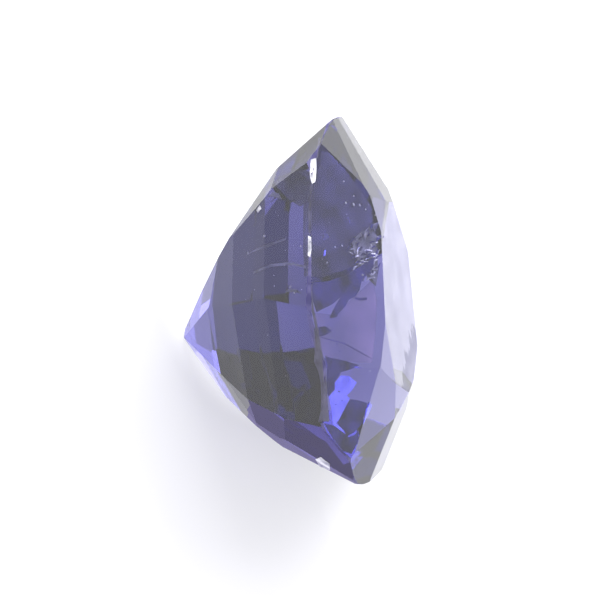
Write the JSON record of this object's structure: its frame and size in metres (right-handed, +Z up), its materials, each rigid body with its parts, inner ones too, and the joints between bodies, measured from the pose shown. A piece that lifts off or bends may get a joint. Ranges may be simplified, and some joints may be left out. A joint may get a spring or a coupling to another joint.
{
  "type": "unheated sapphire",
  "caption": "Loose faceted cushion sapphire with a flat table, stepped pavilion facets running to a point and a narrow bruted girdle, lying on one pavilion facet.",
  "frame": {"origin": "centre of the bounding box's base, on the facet the stone lies on", "axes": "+Z up from the pavilion facet it rests on; the side in the picture faces -Y and up; the table faces +X, +Y and up"},
  "size_m": [0.0092, 0.0086, 0.0071],
  "materials": {
    "sapphire_crystal": "polished clear crystal, greyish blue-violet"
  },
  "bodies": {
    "root": {"sapphire": "sapphire_crystal"}
  },
  "joints": []
}
